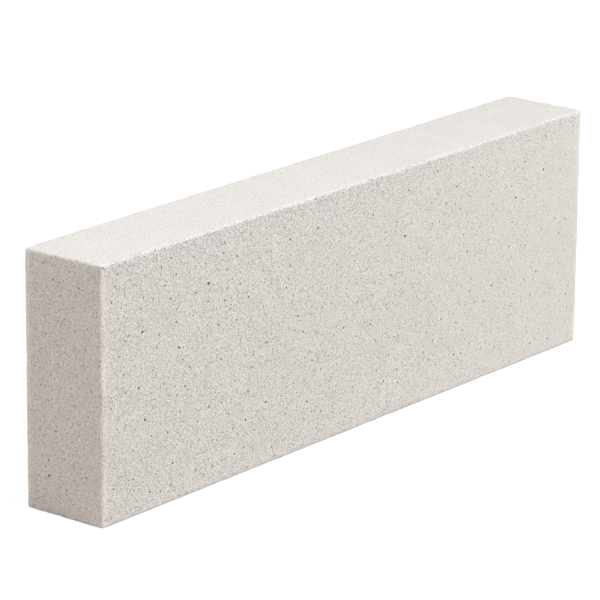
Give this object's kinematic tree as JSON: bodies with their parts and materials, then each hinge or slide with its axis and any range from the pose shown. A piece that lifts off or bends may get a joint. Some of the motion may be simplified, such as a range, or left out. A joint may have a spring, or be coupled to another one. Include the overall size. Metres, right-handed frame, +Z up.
{
  "type": "aerated concrete block",
  "caption": "Solid aerated concrete block with plain flat faces and rubbed arrises, for thin non-bearing walls laid in thin bed mortar.",
  "frame": {"origin": "middle of the lower bed face, which the block rests on", "axes": "+X along the block's length, +Y through its thickness, +Z up its height"},
  "size_m": [0.6, 0.075, 0.2],
  "materials": {
    "aerated_concrete": "matt, open-pored, wire-sawn"
  },
  "bodies": {
    "root": {"block": "aerated_concrete"}
  },
  "joints": []
}
